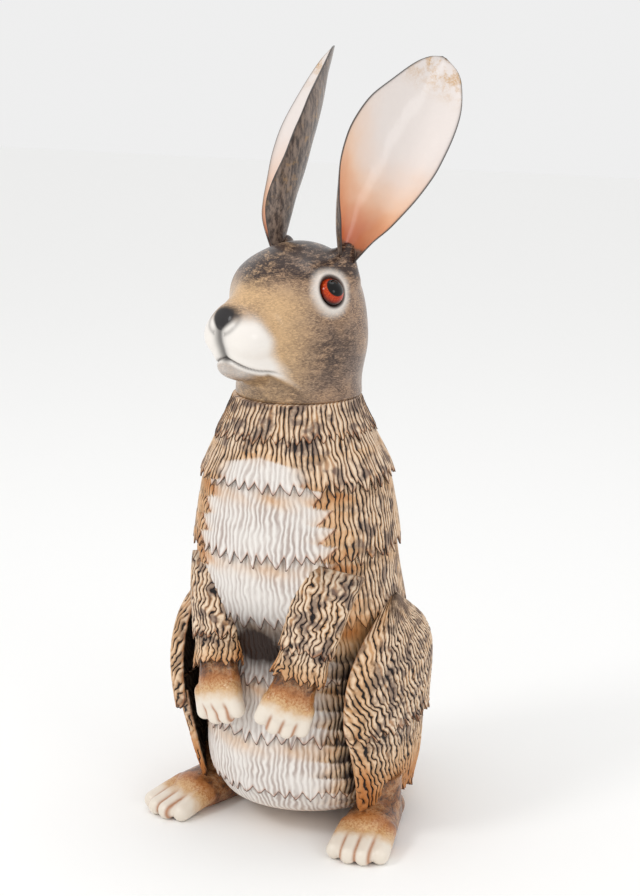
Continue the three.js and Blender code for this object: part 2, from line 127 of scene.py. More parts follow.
def meshPiece(name, points, faces, data):
    corners = np.array([face[:3] for face in faces])
    a, b, c = (points[corners[:, k]] for k in range(3))
    if np.einsum("ij,ij->i", a, np.cross(b, c)).sum() < 0:
        faces = [face[::-1] for face in faces]
    mesh = bpy.data.meshes.new(name)
    mesh.from_pydata((points * mm + shift).tolist(), [], faces)
    mesh.polygons.foreach_set("use_smooth", np.ones(len(mesh.polygons), bool))
    carry(mesh, data)
    return placed(name, mesh)


def gridFaces(rows, columns, first, around):
    r, c = np.meshgrid(np.arange(rows - 1), np.arange(columns if around else columns - 1), indexing="ij")
    here = first + r * columns + c
    beside = first + r * columns + (c + 1) % columns
    return np.stack([here, beside, beside + columns, here + columns], -1).reshape(-1, 4).tolist()


def ringPiece(name, rings, data):  # rings of points, closed with a fan at both ends
    rows, columns = rings.shape[:2]
    count = rows * columns
    points = np.concatenate([rings.reshape(-1, 3), [rings[0].mean(0), rings[-1].mean(0)]])
    faces = gridFaces(rows, columns, 0, True)
    for i in range(columns):
        j = (i + 1) % columns
        faces.append([count, j, i])
        faces.append([count + 1, count - columns + i, count - columns + j])
    full = {key: np.append(at.ravel(), [at[0].mean(), at[-1].mean()]) for key, at in data.items()}
    return meshPiece(name, points, faces, full)


def sheetPiece(name, outer, inner, data):  # two faces of a curved sheet, joined round their rim
    rows, columns = outer.shape[:2]
    count = rows * columns
    faces = gridFaces(rows, columns, 0, False)
    faces += [face[::-1] for face in gridFaces(rows, columns, count, False)]
    low = [(c, c + 1) for c in range(columns - 1)]
    high = [((rows - 1) * columns + c + 1, (rows - 1) * columns + c) for c in range(columns - 1)]
    left = [((r + 1) * columns, r * columns) for r in range(rows - 1)]
    right = [(r * columns + columns - 1, (r + 1) * columns + columns - 1) for r in range(rows - 1)]
    faces += [[b, a, a + count, b + count] for a, b in low + high + left + right]
    points = np.concatenate([outer.reshape(-1, 3), inner.reshape(-1, 3)])
    full = {key: np.concatenate([a.ravel(), b.ravel()]) for key, (a, b) in data.items()}
    return meshPiece(name, points, faces, full)


# node trees

class Wire:  # a node's output; maths on it adds Math nodes
    def __init__(self, tree, socket):
        self.tree, self.socket = tree, socket

    def maths(self, operation, *values):
        node = self.tree.nodes.new("ShaderNodeMath")
        node.operation = operation
        for slot, value in zip(node.inputs, values):
            join(self.tree, value, slot)
        return Wire(self.tree, node.outputs[0])

    def __add__(self, other):
        return self.maths("ADD", self, other)

    def __sub__(self, other):
        return self.maths("SUBTRACT", self, other)

    def __rsub__(self, other):
        return self.maths("SUBTRACT", other, self)

    def __mul__(self, other):
        return self.maths("MULTIPLY", self, other)

    def __truediv__(self, other):
        return self.maths("DIVIDE", self, other)

    __radd__, __rmul__ = __add__, __mul__

    def size(self):
        return self.maths("ABSOLUTE", self)

    def part(self):
        return self.maths("FRACT", self)

    def whole(self):
        return self.maths("FLOOR", self)

    def capped(self):
        return self.maths("MINIMUM", self.maths("MAXIMUM", self, 0.0), 1.0)

    def ease(self, low, high):  # 0 below low, 1 above high
        t = ((self - low) / (high - low)).capped()
        return t * t * (3 - 2 * t)


def join(tree, value, slot):
    if isinstance(value, Wire):
        tree.links.new(value.socket, slot)
    elif isinstance(value, bpy.types.NodeSocket):
        tree.links.new(value, slot)
    else:
        slot.default_value = value


class Bench:  # a tree being built
    def __init__(self, tree):
        self.tree = tree

    def put(self, kind, settings=None, values=None, out=0):
        node = self.tree.nodes.new(kind)
        for key, value in (settings or {}).items():
            setattr(node, key, value)
        for key, value in (values or {}).items():
            join(self.tree, value, node.inputs[key])
        return Wire(self.tree, node.outputs[out]) if node.outputs else node

    def blend(self, share, a, b):
        return self.put("ShaderNodeMix", {"data_type": "RGBA"}, {0: share, 6: a, 7: b}, 2)

    def noise(self, place, scale, detail=3.0, rough=0.55):
        values = {"Vector": place, "Scale": scale, "Detail": detail, "Roughness": rough}
        return self.put("ShaderNodeTexNoise", None, values)

    def marks(self, *names):  # values that the mesh carries
        return [self.put("ShaderNodeAttribute", {"attribute_name": name}, None, 2) for name in names]


def paint(code):  # a colour as it looks on screen
    shares = [int(code[i : i + 2], 16) / 255 for i in (0, 2, 4)]
    return [*(c / 12.92 if c <= 0.04045 else ((c + 0.055) / 1.055) ** 2.4 for c in shares), 1.0]


def enamel(name, build, roughness, coat, shine=0.5):
    material = bpy.data.materials.new(name)
    material.use_nodes = True
    tree = material.node_tree
    bench = Bench(tree)
    shader = tree.nodes["Principled BSDF"]
    shader.inputs["Coat Weight"].default_value = coat
    shader.inputs["Coat Roughness"].default_value = 0.12
    shader.inputs["Specular IOR Level"].default_value = shine
    place = bench.put("ShaderNodeTexCoord", None, None, 3)
    colour, rough, height, depth = build(bench, place)
    join(tree, colour, shader.inputs["Base Color"])
    join(tree, rough * 0.2 + roughness, shader.inputs["Roughness"])
    bump = bench.put("ShaderNodeBump", None, {"Height": height, "Strength": 0.5, "Distance": depth})
    join(tree, bump, shader.inputs["Normal"])
    return material


# paints: each gives colour, a share of roughness, height and the depth of that height

def strokeSide(bench, stroke, fall):  # how far from a stroke's middle, and where its groove runs out
    where = {0: (stroke + 0.5).whole() * 3.7, 1: fall * 1.3, 2: 0.0}
    spot = bench.put("ShaderNodeCombineXYZ", None, where)
    gaps = bench.put("ShaderNodeTexNoise", None, {"Vector": spot, "Scale": 1.0})
    return (stroke.part() * 2 - 1).size(), gaps.ease(0.33, 0.45)


furColours = {
    "ridge": paint("B58E6F"), "pale": paint("EFD9BE"), "tan": paint("BE8A55"), "smoke": paint("5E4A44"),
    "groove": paint("140E0F"), "white": paint("EDE8E2"), "ripple": paint("BDAEA6"), "cream": paint("E2B27E"),
    "rust": paint("B5692A"), "shadeBrown": paint("2A1C16"), "inside": paint("120D0B"),
}


def furPaint(bench, place):
    c = furColours
    white, warm, edge, chase, shade, inside = bench.marks("white", "warm", "edge", "chase", "shade", "inside")
    side, stop = strokeSide(bench, *bench.marks("stroke", "fall"))
    broad, patch, grain = bench.noise(place, 22.0), bench.noise(place, 75.0), bench.noise(place, 420.0, 5.0)
    crest = (1 - side).ease(0.15, 0.9)
    groove = ((side + (patch - 0.5) * 0.3 - 0.84 + chase * 0.17) / 0.17).capped()
    groove = groove * stop * (chase * 1.5).capped()
    hair = bench.blend(broad.ease(0.35, 0.65), c["ridge"], c["tan"])
    hair = bench.blend(patch.ease(0.44, 0.6) * 0.85, hair, c["smoke"])
    # painted highlight along each stroke's crest
    hair = bench.blend(crest * (0.95 - 0.75 * patch.ease(0.42, 0.62)), hair, c["pale"])
    # painted shade in the troughs between the crests of the white front
    belly = bench.blend((1 - crest) * (0.3 + broad.ease(0.4, 0.65) * 0.7), c["white"], c["ripple"])
    coat = bench.blend(white.capped(), hair, belly)
    coat = bench.blend((warm * (0.35 + 0.8 * patch)).capped(), coat, c["cream"])
    coat = bench.blend(((warm - 0.6) * (0.4 + 1.2 * patch)).capped() * 0.8, coat, c["rust"])
    coat = bench.blend((edge.ease(0.2, 0.9) * (0.15 + 0.9 * patch)).capped(), coat, c["rust"])
    coat = bench.blend((groove * (1 - 0.9 * white) * (0.8 + 0.4 * grain)).capped(), coat, c["groove"])
    # painted shade along the locks' cut edges
    coat = bench.blend(edge.ease(0.68, 0.9) * 0.85, coat, c["groove"])
    # painted shade from the shade mark: behind the haunches' rims, between the forearms and at the upper
    # sleeves' tops
    coat = bench.blend((shade * (0.7 + 0.6 * patch)).capped(), coat, c["shadeBrown"])
    coat = bench.blend(inside.capped(), coat, c["inside"])
    height = crest * (0.4 + 0.6 * chase) - groove * (1 - 0.7 * white) + grain * 0.15
    return coat, 0.3 + groove * 0.6 + grain * 0.3, height, 0.0011


headColours = {
    "tan": paint("BC9877"), "gold": paint("E0B988"), "brown": paint("4C362D"), "umber": paint("33211A"),
    "white": paint("F0EAE3"), "nose": paint("1E1A1B"), "grey": paint("8A776B"),
}


def headPaint(bench, place):
    c = headColours
    white, dark, gold, nose, crease = bench.marks("white", "dark", "gold", "nose", "crease")
    lying = bench.put("ShaderNodeMapping", None, {"Vector": place, "Scale": (0.45, 0.35, 1.15)})
    broad, patch = bench.noise(place, 26.0, 4.0), bench.noise(place, 85.0, 6.0, 0.65)
    hair, tuft = bench.noise(lying, 900.0, 4.0, 0.75), bench.noise(lying, 210.0, 6.0, 0.72)
    skin = bench.blend(broad.ease(0.35, 0.65) * 0.7, c["tan"], c["grey"])
    skin = bench.blend((gold * (0.55 + 0.6 * patch)).capped(), skin, c["gold"])
    fine = hair.ease(0.38, 0.58) * (0.35 + patch.ease(0.35, 0.58) * 0.65)
    skin = bench.blend(fine * (0.85 - 0.5 * gold.capped()), skin, c["brown"])
    crown = dark * (tuft.ease(0.38, 0.56) * 0.8 + hair.ease(0.38, 0.6) * 0.5 + 0.1)
    skin = bench.blend(crown.capped(), skin, c["umber"])
    worn = white + (patch - 0.5) * white * (1 - white) * 2.4
    skin = bench.blend(worn.capped(), skin, c["white"])
    skin = bench.blend(crease.capped(), skin, c["umber"])
    skin = bench.blend(nose.capped(), skin, c["nose"])
    return skin, patch + nose * 1.5, hair * (1 - white.capped() * 0.9) + patch, 0.0003


earColours = {
    "pearl": paint("E6DDD8"), "peach": paint("EDBE96"), "deep": paint("C4500F"), "tip": paint("C79A5C"),
    "bark": paint("43352F"), "ash": paint("A08A7A"), "rim": paint("2E2523"),
}


def earPaint(bench, place):
    c = earColours
    along, inner, rim, middle, front = bench.marks("along", "inner", "rim", "middle", "front")
    lying = bench.put("ShaderNodeMapping", None, {"Vector": place, "Scale": (1.0, 1.0, 0.3)})
    broad, patch = bench.noise(place, 20.0), bench.noise(place, 85.0, 6.0, 0.65)
    hair, grain = bench.noise(lying, 260.0, 6.0, 0.7), bench.noise(place, 600.0, 5.0, 0.7)
    fade = along + (broad - 0.5) * 0.25 - front * 0.16
    lining = bench.blend(fade.ease(0.15, 0.6), c["peach"], c["pearl"])
    lining = bench.blend((1 - fade.ease(-0.02, 0.36)) * (0.55 + 0.45 * middle), lining, c["deep"])
    speck = patch.ease(0.4, 0.58) * (0.4 + grain.ease(0.4, 0.6) * 0.6)
    lining = bench.blend(along.ease(0.78, 0.96) * speck * 0.9, lining, c["tip"])
    back = bench.blend(hair.ease(0.4, 0.62) * 0.8, c["bark"], c["ash"])
    back = bench.blend(patch.ease(0.55, 0.7) * 0.5, back, c["tip"])
    colour = bench.blend(inner, back, lining)
    stub = 1 - (along + (patch - 0.5) * 0.06).ease(0.045, 0.075)
    colour = bench.blend(stub, colour, back)
    colour = bench.blend(rim.capped(), colour, c["rim"])
    return colour, patch * (1.4 - inner), broad + hair * (1 - inner) * 0.3, 0.004


toeColours = {
    "white": paint("E9DECF"), "cream": paint("DDBB8B"), "rust": paint("A9642A"), "tan": paint("A9835F"),
    "brown": paint("38281F"),
}


def toePaint(bench, place):
    c = toeColours
    toe, cleft = bench.marks("toe", "cleft")
    patch, grain = bench.noise(place, 80.0, 6.0, 0.6), bench.noise(place, 480.0, 6.0, 0.75)
    blur = toe + (patch - 0.5) * 0.4
    colour = bench.blend(patch.ease(0.42, 0.58), c["brown"], c["tan"])
    colour = bench.blend(blur.ease(0.12, 0.38), colour, c["rust"])
    colour = bench.blend(blur.ease(0.2, 0.62) * 0.8, colour, c["cream"])
    mottle = grain.ease(0.42, 0.6) * (1 - blur.ease(0.45, 0.85)) * 0.85
    colour = bench.blend(mottle, colour, c["rust"])
    colour = bench.blend(grain.ease(0.5, 0.66) * (1 - blur.ease(0.15, 0.5)) * 0.8, colour, c["brown"])
    colour = bench.blend(blur.ease(0.62, 0.95), colour, c["white"])
    colour = bench.blend((cleft * 0.85).capped(), colour, c["rust"])
    return colour, patch, grain, 0.0003


eyeColours = {
    "black": paint("070404"), "ember": paint("A82806"), "flame": paint("E8641E"), "rind": paint("180503"),
}


def eyePaint(bench, place):
    c = eyeColours
    gaze, = bench.marks("gaze")
    rays, cloud = bench.noise(place, 900.0, 4.0), bench.noise(place, 160.0, 3.0)
    colour = bench.blend(rays.ease(0.4, 0.75) * cloud.ease(0.35, 0.6), c["ember"], c["flame"])
    colour = bench.blend(gaze.ease(0.56, 0.86), colour, c["rind"])
    colour = bench.blend(1 - gaze.ease(0.42, 0.47), colour, c["black"])
    return colour, 0.0, rays, 0.00001


furEnamel = enamel("furEnamel", furPaint, 0.4, 0.1, 0.25)
headEnamel = enamel("headEnamel", headPaint, 0.26, 0.28, 0.35)
earEnamel = enamel("earEnamel", earPaint, 0.3, 0.4)
toeEnamel = enamel("toeEnamel", toePaint, 0.26, 0.3, 0.35)
eyeGlass = enamel("eyeGlass", eyePaint, 0.03, 0.2, 0.2)


# the chaser's strokes: long hairs pressed into the sheet between narrow grooves

strokeSizes = {"Spacing": 4.6, "Depth": 0.0008, "Wander": 1.2, "Length": 24.0, "Slant": 0.0, "Seed": 1.0}


def strokeTree():
    tree = bpy.data.node_groups.new("fur strokes", "GeometryNodeTree")
    bench = Bench(tree)
    face = tree.interface
    face.new_socket("Sheet", in_out="INPUT", socket_type="NodeSocketGeometry")
    for name, start in strokeSizes.items():
        face.new_socket(name, in_out="INPUT", socket_type="NodeSocketFloat").default_value = start
    face.new_socket("Paint", in_out="INPUT", socket_type="NodeSocketMaterial")
    face.new_socket("Fur", in_out="OUTPUT", socket_type="NodeSocketGeometry")
    given = tree.nodes.new("NodeGroupInput")
    wire = {slot.name: Wire(tree, slot) for slot in given.outputs if slot.name}

    def carried(name):
        return bench.put("GeometryNodeInputNamedAttribute", {"data_type": "FLOAT"}, {"Name": name})

    def kept(shape, name, value):
        values = {"Geometry": shape, "Name": name, "Value": value}
        return bench.put("GeometryNodeStoreNamedAttribute", {"data_type": "FLOAT", "domain": "POINT"}, values)

    def wobble(x, y):
        where = bench.put("ShaderNodeCombineXYZ", None, {0: x, 1: y, 2: 0.0})
        return bench.put("ShaderNodeTexNoise", None, {"Vector": where, "Scale": 1.0}) - 0.5

    lane = carried("across") / wire["Spacing"]
    drop = carried("down") / wire["Length"]
    fall = drop + wire["Seed"] * 5.37
    stroke = lane + wire["Slant"] * drop + wobble(lane * 0.3, fall * 1.6) * wire["Wander"] * 2
    stroke = stroke + wobble(lane * 0.9, fall * 2.6) * wire["Wander"] * 0.6
    side, stop = strokeSide(bench, stroke, fall)
    lift = (0.55 - side * side * (0.5 + 0.5 * stop)) * carried("chase") * wire["Depth"]
    normal = bench.put("GeometryNodeInputNormal")
    push = bench.put("ShaderNodeVectorMath", {"operation": "SCALE"}, {0: normal, "Scale": lift})
    moved = bench.put("GeometryNodeSetPosition", None, {"Geometry": wire["Sheet"], "Offset": push})
    marked = kept(kept(moved, "stroke", stroke), "fall", fall)
    real = bench.put("GeometryNodeRealizeInstances", None, {"Geometry": marked})
    done = bench.put("GeometryNodeSetMaterial", None, {"Geometry": real, "Material": wire["Paint"]})
    join(tree, done, tree.nodes.new("NodeGroupOutput").inputs[0])
    return tree


strokes = strokeTree()


def applied(piece):  # the piece with its modifiers baked in
    bpy.context.view_layer.update()
    baked = bpy.data.meshes.new_from_object(piece.evaluated_get(bpy.context.evaluated_depsgraph_get()))
    piece.modifiers.clear()
    piece.data = baked
    return piece


def unwound(piece, lanes):  # the strokes' count carried on past the seam, face by face
    mesh = piece.data
    values = np.empty(len(mesh.vertices), np.float32)
    mesh.attributes["stroke"].data.foreach_get("value", values)
    corners = np.empty(len(mesh.loops), np.int32)
    mesh.loops.foreach_get("vertex_index", corners)
    starts, sizes = np.empty(len(mesh.polygons), np.int32), np.empty(len(mesh.polygons), np.int32)
    mesh.polygons.foreach_get("loop_start", starts)
    mesh.polygons.foreach_get("loop_total", sizes)
    values = values[corners]
    highest = np.repeat(np.maximum.reduceat(values, starts), sizes)
    values = values + lanes * (highest - values > lanes / 2)
    mesh.attributes.remove(mesh.attributes["stroke"])
    mesh.attributes.new("stroke", "FLOAT", "CORNER").data.foreach_set("value", values.astype(np.float32))
    return piece


def chased(piece, around=None, **sizes):
    modifier = piece.modifiers.new("strokes", "NODES")
    modifier.node_group = strokes
    for item in strokes.interface.items_tree:
        if item.name in sizes:
            modifier[item.identifier] = float(sizes[item.name])
        if item.name == "Paint":
            modifier[item.identifier] = furEnamel
    applied(piece)
    return unwound(piece, around / sizes["Spacing"]) if around else piece


def finished(piece, slot, *nodes):
    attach(piece, "root")
    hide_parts(*nodes)
    print(piece.name, len(piece.data.polygons), "faces")


# the body's outline: height, half the width, front and back, as shares

body = {
    "height": 412, "width": 186, "depth": 178, "tuck": 0.7, "lap": 9, "fit": 0.3, "sheet": 1.1, "hidden": 18,
    "columns": 640, "rows": 36, "collarRows": 18, "innerRows": 6,
}
bodyStrokes = {"Spacing": 5.1, "Depth": 0.0011, "Wander": 1.2, "Length": 34}
bodyAt = curveThrough([
    [0.0, 0.36, 0.2, 0.56], [0.012, 0.55, 0.07, 0.62], [0.03, 0.72, -0.09, 0.68],
    [0.05, 0.83, -0.24, 0.73], [0.075, 0.93, -0.345, 0.78], [0.145, 1.02, -0.42, 0.83],
    [0.22, 1.04, -0.43, 0.8], [0.32, 1.02, -0.39, 0.73], [0.42, 1.0, -0.39, 0.65],
    [0.53, 0.985, -0.455, 0.58], [0.63, 0.975, -0.5, 0.54], [0.74, 0.955, -0.485, 0.51],
    [0.84, 0.89, -0.455, 0.47], [0.91, 0.78, -0.415, 0.41], [0.96, 0.69, -0.37, 0.36],
    [1.0, 0.63, -0.33, 0.33],
])


def bodyPoint(turn, height, out):
    halfWidth, front, back = np.moveaxis(bodyAt(height / body["height"]), -1, 0)
    middle = (front + back) / 2 * body["depth"]
    halfDepth = (back - front) / 2 * body["depth"]
    x = (halfWidth * body["width"] / 2 + out) * np.sin(turn)
    return spread([x, middle - (halfDepth + out) * np.cos(turn), height])


bands = [
    {"node": "neck_collar", "bottom": 0.94, "dip": 0.02, "flare": 2.4, "lock": 10, "long": 11},
    {"node": "shoulder_band", "bottom": 0.842, "flare": 4.2, "lock": 11.5, "long": 14},
    {"node": "chest_band", "bottom": 0.688, "flare": 4.2, "lock": 11, "long": 14},
    {"node": "waist_band", "bottom": 0.54, "flare": 4.2, "lock": 12, "long": 15},
    {"node": "belly_band", "bottom": 0.39, "flare": 3.6, "lock": 12, "long": 12},
    {"node": "lap_band", "bottom": 0.262, "flare": 3.6, "lock": 11.5, "long": 13},
    {"node": "hem_band", "bottom": 0.128, "flare": 3.2, "lock": 12, "long": 11},
]

# from the body's own place to the model's, read off the seat
seatTop = bands[-1]["bottom"] * body["height"] + body["lap"] - body["fit"]
seatShares = np.array([0, 0.08, 0.2, 0.35, 0.6, 1])
seatBack = bodyPoint(np.pi, seatShares * seatTop, seatShares * body["tuck"])[:, 1].max()
seatLow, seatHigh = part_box("seat_base")
shift = np.array([(seatLow.x + seatHigh.x) / 2, seatHigh.y - seatBack * mm, 0])


def locks(along, total, width, seed):  # where each place lies in the row of cut locks
    count = max(3, round(total / width))
    cuts = np.arange(count + 1) * total / count
    cuts[1:-1] += (chance(np.arange(1, count) + seed * 17.0) - 0.5) * 0.5 * total / count
    which = np.clip(np.searchsorted(cuts, along, side="right") - 1, 0, count - 1)
    wide = cuts[which + 1] - cuts[which]
    return which, (along - cuts[which]) / wide, wide


def furSleeve(name, place, spec, rows, columns, paintAt):
    turn = np.arange(columns) / columns * 2 * np.pi - np.pi
    top, edge, seed = spec["top"], spec["edge"](turn), spec["seed"]
    loop = place(turn, edge + 0 * turn, 0)
    steps = np.linalg.norm(np.roll(loop, -1, 0) - loop, axis=1)
    total = steps.sum()
    along = np.cumsum(steps) - steps
    which, share, wide = locks(along, total, spec["lock"], seed)
    long = spec["long"] * mixed(0.5, 1, chance(which + seed * 31.0))
    hook = (chance(which + seed * 47.0) - 0.5) * 0.5
    lift = chance(which + seed * 59.0)
    crown = 1 - np.abs(2 * share - 1) ** 1.5
    tip = edge - long * crown
    ledge = spec["ledge"]

    def surface(height, inset):
        below = np.clip((edge - height) / long, 0, 1)
        lean = below ** 1.6
        sideways = (0.5 - share) * wide * 0.35 * lean + hook * long * lean
        fallen = np.clip((spec["under"] - height) / (spec["under"] - edge), 0, 1)
        out = mixed(spec["tuck"], spec["flare"], fallen ** 1.25)
        out = out + below * ((1 - (2 * share - 1) ** 2) * 0.9 + lift * 1.8 - 1.4)
        if "plates" in spec:
            out = out + spec["plates"](turn, height)
        return place(turn + sideways / (total / (2 * np.pi)), height, out - inset)

    outerHeight = tip + (top - tip) * np.linspace(0, 1, rows)[:, None]
    innerHeight = ledge + (tip - ledge) * np.linspace(0, 1, body["innerRows"])[:, None]
    plug = place(turn, np.full(columns, float(ledge)), 0 * turn)[None]
    rings = np.concatenate([plug, surface(innerHeight, body["sheet"]), surface(outerHeight, 0)])
    height = np.concatenate([np.full((1, columns), float(ledge)), innerHeight, outerHeight])
    outer = (np.arange(len(height)) > body["innerRows"])[:, None] * np.ones(columns)
    data = {
        "across": along[None] + 0 * height,
        "down": top - height,
        "chase": outer * smoothStep(0, spec["clear"], top - height),
        "edge": outer * np.exp(-(height - tip) / 3.5),
        "inside": 1 - outer,
        "shade": 0 * height,
    }
    data.update(paintAt(turn + 0 * height, height, data))
    return ringPiece(name, rings, data), total


# the chest and belly are white, between brown sides that are cut into locks at the front
panel = {"step": 1.9, "lockHeight": 16, "lockReach": 11}
panelRows = curveThrough([  # height as a share, the panel's middle and its half width in degrees
    [0, -4, 66], [0.1, -8, 52], [0.26, -9, 46], [0.4, -7, 46], [0.5, 0, 44], [0.56, 4, 45],
    [0.7, 4, 42], [0.8, 4, 38], [0.87, 4, 22], [0.92, 4, -12], [1, 4, -30],
])


def panelSide(turn, height):  # degrees past the edge of the white front
    degrees = np.degrees((turn + np.pi) % (2 * np.pi) - np.pi)
    middle, edge = np.moveaxis(panelRows(height / body["height"]), -1, 0)
    away = np.abs(degrees - middle)
    row = height / panel["lockHeight"] + away / 55
    saw = row - np.floor(row)
    return away - edge - panel["lockReach"] * (saw - 0.5), edge, degrees


def plateShare(height):  # where the side plates show as cut sheets
    share = height / body["height"]
    return smoothStep(0.5, 0.56, share) * (1 - smoothStep(0.83, 0.86, share))


def plates(turn, height):
    past, _, _ = panelSide(turn, height)
    return panel["step"] * plateShare(height) * smoothStep(0, 2.5, past) * (1 - smoothStep(8, 60, past))


def bodyPaint(turn, height, data):
    past, edge, degrees = panelSide(turn, height)
    share, shown, outer = height / body["height"], plateShare(height), 1 - data["inside"]
    soft = mixed(7, 1.6, shown)
    white = (1 - smoothStep(-soft, soft, past)) * smoothStep(-5, 8, edge)
    bare = hump(np.abs(degrees), 62, 17) * hump(share, 0.49, 0.06)  # smooth tan beside the arms
    rimShade = smoothStep(2, 14, past) * smoothStep(0.47, 0.41, share) * smoothStep(0.05, 0.13, share)
    rimShade = rimShade * smoothStep(100, 80, np.abs(degrees))  # painted shade behind the haunches' rims
    lap = 1.2 * hump(degrees, 0, 30) * hump(share, 0.465, 0.07)  # painted shade between the forearms
    uneven = 0.55 + 0.45 * drift(turn * 7, height / 9, 6.0)
    under = 0.85 * uneven * hump(data["down"], 23, 8) * (share < 0.9)  # warm below the band above
    return {
        "white": white * (1 - bare),
        "warm": hump(past, 6, 9) * 0.85 * np.maximum(shown, 0.4) + bare + under,
        "chase": data["chase"] * (1 - 0.35 * white) * (1 - 0.85 * bare),
        # the plates' cut edge beside the white front gets rust, and painted shade at the very edge
        "edge": np.maximum(data["edge"], 0.9 * hump(past, 0, 1.3) * shown) * outer,
        "shade": np.maximum(rimShade, lap) * outer,
    }


def bottomEdge(turn, band):  # the collar dips on the rabbit's right
    return (band["bottom"] - band.get("dip", 0) * np.clip(-np.sin(turn), 0, 1)) * body["height"]


print("the body's bands")
for index, band in enumerate(bands):
    above = bands[index - 1] if index else None
    bottom = band["bottom"] * body["height"]
    top = above["bottom"] * body["height"] + body["lap"] - body["fit"] if above else body["height"]
    spec = {
        "top": top, "ledge": bottom + body["lap"], "tuck": body["tuck"] if above else 0,
        "under": top - body["hidden"] if above else top, "clear": 9 if above else 2,
        "flare": band["flare"], "lock": band["lock"], "long": band["long"], "seed": index + 1,
        "plates": plates,
        "edge": lambda turn, b=band: bottomEdge(turn, b),
    }
    rows = body["rows"] if above else body["collarRows"]
    fur, around = furSleeve(band["node"] + "_fur", bodyPoint, spec, rows, body["columns"], bodyPaint)
    chased(fur, around, Seed=index + 1, **bodyStrokes)
    finished(fur, "fur_paint" if index < 2 else "belly_paint", band["node"])


# the shallow bowl that the rabbit sits on
seat = {"columns": 360, "girth": 95, "start": 300}
seatStrokes = {"Spacing": 5.4, "Depth": 0.0007, "Wander": 1.2, "Length": 20, "Seed": 9}


def seatBowl():
    turn = np.linspace(-np.pi, np.pi, seat["columns"], endpoint=False)
    share = np.concatenate([np.linspace(0, 0.2, 7), np.linspace(0.25, 1, 18)])[:, None]
    rings = bodyPoint(turn + 0 * share, share * seatTop + 0 * turn, share * body["tuck"])
    height = share * seatTop + 0 * turn
    past, _, _ = panelSide(turn + 0 * share, height)
    data = {
        "across": turn * seat["girth"] + seat["start"] + 0 * share, "down": seatTop - height,
        "chase": 0.5 * smoothStep(0, 10, height), "edge": 0.45 * hump(height, 8, 8),
        "inside": 0 * height, "shade": 0 * height,
        "white": 1 - smoothStep(-14, 14, past), "warm": 0.6 * hump(height, 16, 12),
    }
    return ringPiece("seat_bowl", rings, data)


seatRound = 2 * np.pi * seat["girth"]
bowl = chased(seatBowl(), seatRound, **seatStrokes)
finished(bowl, "belly_paint", "seat_base")


# the tail: a tuft of the same chased sheet
tail = {"size": 27, "girth": 22, "columns": 120, "rows": 60}
tailStrokes = {"Spacing": 5, "Depth": 0.0012, "Wander": 1.4, "Length": 18, "Seed": 12}


def tailTuft():
    size = tail["size"]
    centre = bodyPoint(np.pi, np.float64(0.13 * body["height"]), 0.7 * size)
    columns, rows = tail["columns"], tail["rows"]
    turn = np.arange(columns) / columns * 2 * np.pi
    rise = np.linspace(0.02, np.pi - 0.02, rows)[:, None]
    high, wide = -np.cos(rise), np.sin(rise)
    lean = 0.35 * smoothStep(0, 1, high)
    girth = wide * (0.86 + 0.06 * np.cos(9 * turn) * wide)
    rising = 1.12 * high + 0.22 * (high > 0) * high ** 2
    points = spread([girth * np.sin(turn), lean - girth * np.cos(turn) * 0.93, rising])
    height = high + 0 * turn
    across = turn * tail["girth"] + 0 * rise
    data = {"across": across, "down": -26 * height, "chase": wide ** 0.5 + 0 * turn}
    data.update(edge=0 * height, inside=0 * height, shade=0 * height, warm=0.3 + 0 * height)
    data["white"] = smoothStep(0.1, -0.7, height)
    return ringPiece("tail_tuft", points * size + centre, data)


tailRound = 2 * np.pi * tail["girth"]
tuft = chased(tailTuft(), tailRound, **tailStrokes)
finished(tuft, "belly_paint", "tail")


# arms: two fur sleeves along a curve, then a paw
arm = {
    "length": 158, "cuff": 17, "wide": 23, "thick": 17, "top": 0.97, "elbow": 0.47, "wrist": 0.2, "shift": 6,
    "front": {1: (0.5, -0.87, 0.1), -1: (-0.1, -0.87, 0.1)}, "columns": 200, "rows": 54,
    "path": [[0.318, -0.28, 0.66], [0.285, -0.35, 0.566], [0.255, -0.39, 0.485], [0.23, -0.42, 0.425],
             [0.2, -0.465, 0.364], [0.175, -0.51, 0.3155]],
}
armStrokes = {"Spacing": 4.7, "Depth": 0.001, "Wander": 1.9, "Length": 24}
armGirth = curveThrough([[0, 0.95, 0.95], [0.5, 0.97, 0.97], [0.75, 1.15, 1.1], [1, 1.35, 0.75]])


def armFrame(side, station):
    points = np.array(arm["path"]) * [side * body["width"], body["depth"], body["height"]]
    walked = np.append(0, np.cumsum(np.linalg.norm(np.diff(points, axis=0), axis=1)))
    path = curveThrough(np.column_stack([walked / walked[-1], points]))
    rise = np.clip(np.asarray(station, float) / arm["length"], 0, 1)
    centre = path(1 - rise)
    down = unit(path(np.clip(1 - rise + 0.01, 0, 1)) - path(np.clip(1 - rise - 0.01, 0, 1)))
    front = np.array(arm["front"][side])
    front = unit(front - (down * front).sum(-1, keepdims=True) * down)
    return rise, centre + rise[..., None] * [arm["shift"], 0, 0], np.cross(down, front), front, -down


def armPoint(side):
    def place(turn, station, out):
        rise, centre, across, front, _ = armFrame(side, station)
        wider, thicker = np.moveaxis(armGirth(rise), -1, 0)
        wide, thick = arm["wide"] * wider + out, arm["thick"] * thicker + out
        return centre + across * (wide * np.sin(turn))[..., None] + front * (thick * np.cos(turn))[..., None]
    return place


def armPaint(turn, height, data):
    tip = 1 - smoothStep(0, 22, height - (arm["wrist"] * arm["length"] + arm["cuff"]))
    # painted shade at the top of the upper sleeve, under the band above
    root = 0.35 * smoothStep(22, 3, data["down"]) * (height > 0.8 * arm["length"]) * (1 - data["inside"])
    return {"white": 0 * height, "warm": 0.8 * tip + 0.75 * hump(np.abs(turn), 1.6, 0.35), "shade": root}


